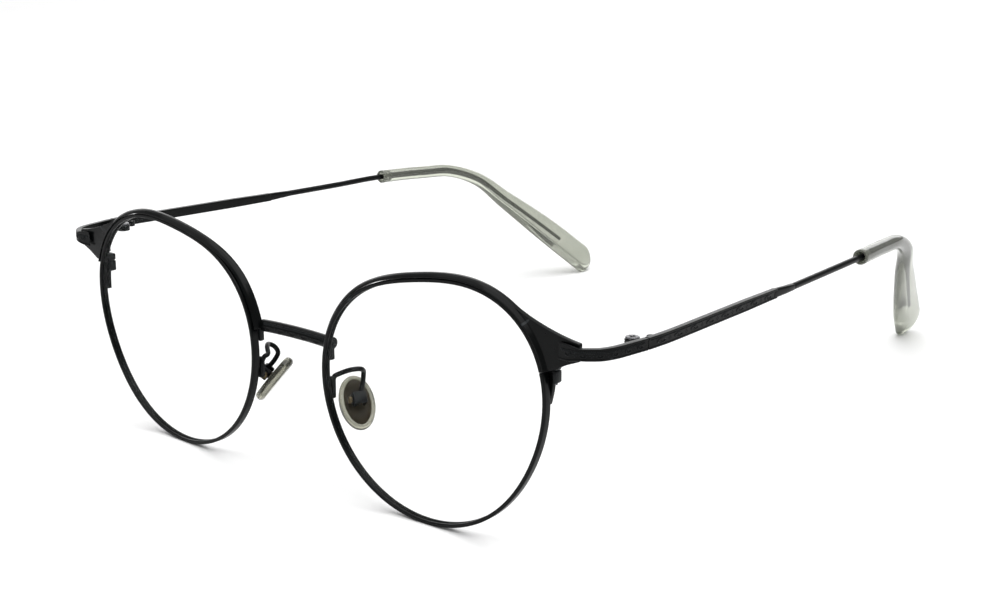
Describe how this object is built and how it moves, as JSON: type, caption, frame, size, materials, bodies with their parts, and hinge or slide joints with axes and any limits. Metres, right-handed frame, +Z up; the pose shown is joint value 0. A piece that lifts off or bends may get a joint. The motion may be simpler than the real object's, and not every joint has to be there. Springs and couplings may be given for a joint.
{
  "type": "round wire eyeglasses",
  "caption": "Round metal-wire spectacles with a raised brow bar, folding temples on screw hinges, curved clear tips and rocking nose pads.",
  "frame": {"origin": "middle of the bounding box at table height, with the temples open", "axes": "+X towards the wearer's left, +Y from the front back along the temples, +Z up"},
  "size_m": [0.1468, 0.1624, 0.0478],
  "materials": {
    "black_metal": "satin black paint",
    "screw_steel": "blackened",
    "pad_screw_brass": "dulled",
    "lens_clear": "clear, polished",
    "pad_clear": "clear, soft",
    "pad_insert": "dark olive",
    "tip_acetate": "translucent grey-green, polished"
  },
  "bodies": {
    "front": {"bridge": "black_metal", "left_rim": "black_metal", "left_lens": "lens_clear", "left_brow_bar": "black_metal", "left_closing_block_upper": "black_metal", "left_closing_block_lower": "black_metal", "left_rim_screw": "screw_steel", "left_pad_arm": "black_metal", "left_pad_box": "black_metal", "left_pad_screw": "pad_screw_brass", "left_endpiece": "black_metal", "left_hinge_front": "black_metal", "left_hinge_screw": "screw_steel", "right_rim": "black_metal", "right_lens": "lens_clear", "right_brow_bar": "black_metal", "right_closing_block_upper": "black_metal", "right_closing_block_lower": "black_metal", "right_rim_screw": "screw_steel", "right_pad_arm": "black_metal", "right_pad_box": "black_metal", "right_pad_screw": "pad_screw_brass", "right_endpiece": "black_metal", "right_hinge_front": "black_metal", "right_hinge_screw": "screw_steel"},
    "left_temple_arm": {"left_hinge_temple": "black_metal", "left_temple_bar": "black_metal", "left_temple_wire": "black_metal", "left_temple_tip": "tip_acetate"},
    "left_pad": {"left_nose_pad": "pad_clear", "left_pad_core": "pad_insert"},
    "right_temple_arm": {"right_hinge_temple": "black_metal", "right_temple_bar": "black_metal", "right_temple_wire": "black_metal", "right_temple_tip": "tip_acetate"},
    "right_pad": {"right_nose_pad": "pad_clear", "right_pad_core": "pad_insert"}
  },
  "joints": [
    {"name": "left_temple_fold", "type": "hinge", "parent": "front", "child": "left_temple_arm", "pos_m": [0.0693, -0.06433, 0.02372], "axis": [0, 0.0225, 0.9997], "range_deg": [0, 86]},
    {"name": "right_temple_fold", "type": "hinge", "parent": "front", "child": "right_temple_arm", "pos_m": [-0.0693, -0.06433, 0.02372], "axis": [0, -0.0225, -0.9997], "range_deg": [0, 83]},
    {"name": "left_pad_rock", "type": "hinge", "parent": "front", "child": "left_pad", "pos_m": [0.01288, -0.0739, 0.01796], "axis": [0.4909, 0.871, -0.0196], "range_deg": [-8, 8]},
    {"name": "right_pad_rock", "type": "hinge", "parent": "front", "child": "right_pad", "pos_m": [-0.01288, -0.0739, 0.01796], "axis": [-0.4909, 0.871, -0.0196], "range_deg": [-8, 8]}
  ]
}
